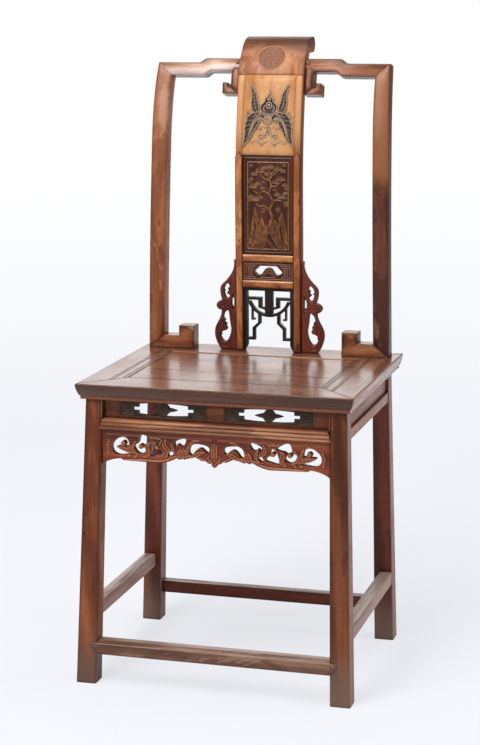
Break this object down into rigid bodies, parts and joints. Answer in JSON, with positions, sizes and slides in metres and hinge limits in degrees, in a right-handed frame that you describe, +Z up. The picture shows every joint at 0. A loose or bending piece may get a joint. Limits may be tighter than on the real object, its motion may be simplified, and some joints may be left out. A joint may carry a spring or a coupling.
{
  "type": "side chair",
  "caption": "Mitre-framed hardwood side chair with a curved, carved and lacquered splat rolled over at the top, splayed square legs, a pierced apron and low stretchers; it holds a sitter upright.",
  "frame": {"origin": "On the floor, under the middle of the chair's bounding box.", "axes": "+X to the chair's right seen from the front, +Y from the front edge to the back, +Z up."},
  "size_m": [0.481, 0.4842, 1.084],
  "materials": {
    "frame_wood": "old waxed hardwood, orange brown to red brown, worn paler on the edges and greyish at the feet",
    "post_wood": "golden brown to red brown hardwood, waxed, darker on the inner faces",
    "seat_wood": "satin brown hardwood with soft reflections",
    "splat_wood": "golden tan hardwood, waxed",
    "carved_wood": "red brown carved wood, darkened in the hollows",
    "dark_wood": "blackened wood with slightly worn edges",
    "lacquer": "dark maroon lacquer with worn gilding on the relief"
  },
  "bodies": {
    "root": {"apron_front": "carved_wood", "back_post_left": "post_wood", "back_post_right": "post_wood", "bead_rail_front": "frame_wood", "crest_hook_left": "post_wood", "crest_hook_right": "post_wood", "crest_hook_tip_left": "post_wood", "crest_hook_tip_right": "post_wood", "crest_rail_left": "post_wood", "crest_rail_right": "post_wood", "frieze_board_front": "frame_wood", "frieze_board_left": "frame_wood", "frieze_board_rear": "frame_wood", "frieze_board_right": "frame_wood", "frieze_fret_left": "dark_wood", "frieze_fret_right": "dark_wood", "leg_front_left": "frame_wood", "leg_front_right": "frame_wood", "leg_rear_left": "frame_wood", "leg_rear_right": "frame_wood", "post_foot_left": "post_wood", "post_foot_right": "post_wood", "rail_rear": "frame_wood", "seat_batten_left": "seat_wood", "seat_batten_right": "seat_wood", "seat_board_front": "seat_wood", "seat_board_rear": "seat_wood", "seat_rail_front": "seat_wood", "seat_rail_left": "seat_wood", "seat_rail_rear": "seat_wood", "seat_rail_right": "seat_wood", "side_rail_left": "frame_wood", "side_rail_right": "frame_wood", "splat_butterfly_board": "splat_wood", "splat_fret_panel": "carved_wood", "splat_landscape_panel": "lacquer", "splat_lattice": "dark_wood", "splat_rail_lower": "splat_wood", "splat_rail_middle": "splat_wood", "splat_scroll_block": "splat_wood", "splat_stile_left": "splat_wood", "splat_stile_right": "splat_wood", "stretcher_front": "frame_wood", "stretcher_left": "frame_wood", "stretcher_pegs": "frame_wood", "stretcher_rear": "frame_wood", "stretcher_right": "frame_wood", "wing_left": "carved_wood", "wing_right": "carved_wood"}
  },
  "joints": []
}
